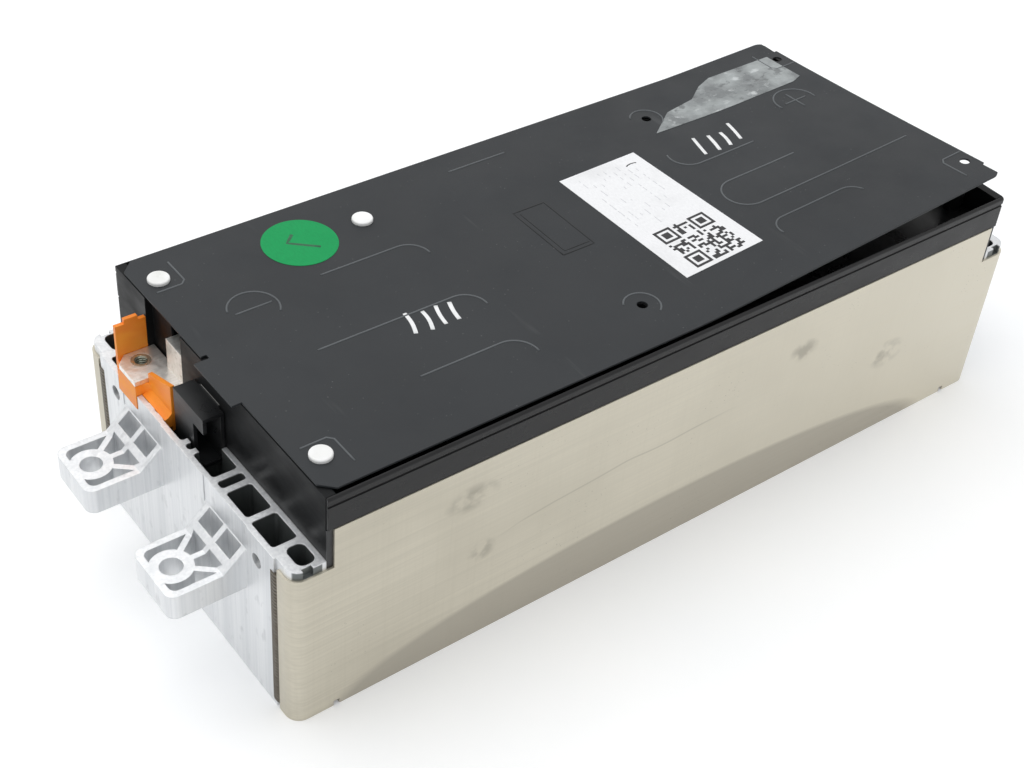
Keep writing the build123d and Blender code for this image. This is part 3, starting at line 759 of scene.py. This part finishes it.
# ---- Studio ----
def make_floor():
    """A wide pale floor, lifted a little where it is seen."""
    mesh = bmesh.new()
    bmesh.ops.create_grid(mesh, x_segments=8, y_segments=8, size=FLOOR_HALF)
    data = bpy.data.meshes.new("studio_floor")
    mesh.to_mesh(data)
    mesh.free()
    finish = Finish("studio_floor", 0.55)
    tone = finish.mix(finish.fit(finish.noise(9, 3), 0.3, 0.7), rgb(246, 247, 248), rgb(250, 250, 250))
    finish.colour(tone)
    path = finish.add("ShaderNodeLightPath").outputs
    seen = finish.sum("MAXIMUM", path["Is Camera Ray"], path["Is Glossy Ray"])
    seen = finish.sum("MAXIMUM", seen, path["Is Transmission Ray"])
    glow = finish.sum("MULTIPLY", seen, FLOOR_LIFT)
    finish.tree.links.new(tone, finish.shader.inputs["Emission Color"])
    finish.tree.links.new(glow, finish.shader.inputs["Emission Strength"])
    data.materials.append(finish.material)
    floor = bpy.data.objects.new("studio_floor", data)
    bpy.context.scene.collection.objects.link(floor)


def make_world():
    """An even pale sky: white to the camera and in reflections, softer as light."""
    world = bpy.data.worlds.new("studio")
    world.use_nodes = True
    bpy.context.scene.world = world
    tree = world.node_tree
    output = tree.nodes["World Output"]
    light = tree.nodes["Background"]
    light.inputs["Color"].default_value = SKY_TINT
    light.inputs["Strength"].default_value = WORLD_LEVEL
    shown = tree.nodes.new("ShaderNodeBackground")
    shown.inputs["Color"].default_value = SKY_SHOWN
    path = tree.nodes.new("ShaderNodeLightPath")
    seen = path.outputs["Is Camera Ray"]
    for name in ("Is Glossy Ray", "Is Transmission Ray"):
        either = tree.nodes.new("ShaderNodeMath")
        either.operation = "MAXIMUM"
        tree.links.new(seen, either.inputs[0])
        tree.links.new(path.outputs[name], either.inputs[1])
        seen = either.outputs[0]
    blend = tree.nodes.new("ShaderNodeMixShader")
    tree.links.new(seen, blend.inputs[0])
    tree.links.new(light.outputs[0], blend.inputs[1])
    tree.links.new(shown.outputs[0], blend.inputs[2])
    tree.links.new(blend.outputs[0], output.inputs["Surface"])


def make_softbox():
    """One large soft lamp above, aimed at the module's middle."""
    lamp = bpy.data.lights.new("softbox", "AREA")
    lamp.energy = SOFTBOX_WATTS
    lamp.size = SOFTBOX_SIZE
    softbox = bpy.data.objects.new("softbox", lamp)
    softbox.location = SOFTBOX_PLACE
    softbox.rotation_euler = (-SOFTBOX_PLACE).to_track_quat("-Z", "Y").to_euler()
    bpy.context.scene.collection.objects.link(softbox)


def make_camera():
    """The camera that was fitted to the photograph's edges."""
    heading, dip, roll = (math.radians(a) for a in (CAMERA_HEADING, CAMERA_DIP, CAMERA_ROLL))
    ahead = Vector((math.cos(dip) * math.cos(heading), math.cos(dip) * math.sin(heading), -math.sin(dip)))
    right = ahead.cross(Vector((0.0, 0.0, 1.0))).normalized()
    up = right.cross(ahead)
    turned_right = right * math.cos(roll) + up * math.sin(roll)
    turned_up = up * math.cos(roll) - right * math.sin(roll)
    data = bpy.data.cameras.new("camera")
    data.lens = CAMERA_LENS
    data.sensor_width = CAMERA_SENSOR
    camera = bpy.data.objects.new("camera", data)
    rotation = Matrix((turned_right, turned_up, -ahead)).transposed().to_4x4()
    camera.matrix_world = Matrix.Translation(CAMERA_PLACE) @ rotation
    bpy.context.scene.collection.objects.link(camera)
    bpy.context.scene.camera = camera


def dress_nodes(finishes):
    """Gives every CAD node its finish, with smooth shading on its curved faces."""
    for subpart in frame["record"]["subparts"]:
        mesh = nodes[subpart["node"]].data
        mesh.materials.clear()
        mesh.materials.append(finishes[subpart["material_slot"]])
        for polygon in mesh.polygons:
            polygon.use_smooth = True
        mesh.set_sharp_from_angle(angle=math.radians(SMOOTH_ANGLE))


def main():
    """Dresses the module, adds its small pieces and sets up the studio."""
    finishes = make_finishes()
    dress_nodes(finishes)
    lid_top = surface_under(["lid"])
    label_top = surface_under(["label"])
    sticker_top = surface_under(["round_sticker"])
    # Painted highlight: the embossed ridges get a lighter charcoal so that they show up as lit ridges.
    ridge_highlight = lid_finish("lid_ridge_painted_highlight", (84, 87, 89))
    # Painted shade: the window outline gets a darker charcoal, standing in for the shade of a groove.
    shadow = lid_finish("lid_groove_painted_shade", (28, 29, 30))
    ink = soft_finish("black_ink", (20, 20, 22), (34, 34, 36), 300, 0.5)
    faint_ink = soft_finish("faint_ink", (206, 207, 210), (218, 219, 221), 300, 0.5)
    paint = soft_finish("white_paint", (232, 233, 233), (246, 246, 246), 250, 0.45)
    tick = soft_finish("green_ink", (6, 74, 44), (10, 92, 54), 300, 0.45)
    make_relief(lid_top, ridge_highlight)
    make_window(lid_top, shadow)
    make_marker(lid_top, paint)
    make_code(label_top, ink)
    make_label_lines(label_top, faint_ink)
    make_label_stroke(label_top, ink)
    make_tick(sticker_top, tick)
    make_threads(finishes["nut_steel"])
    make_aprons(finishes["orange_plastic"])
    make_floor()
    make_world()
    make_softbox()
    make_camera()
    bpy.context.scene.view_settings.view_transform = "Standard"


main()
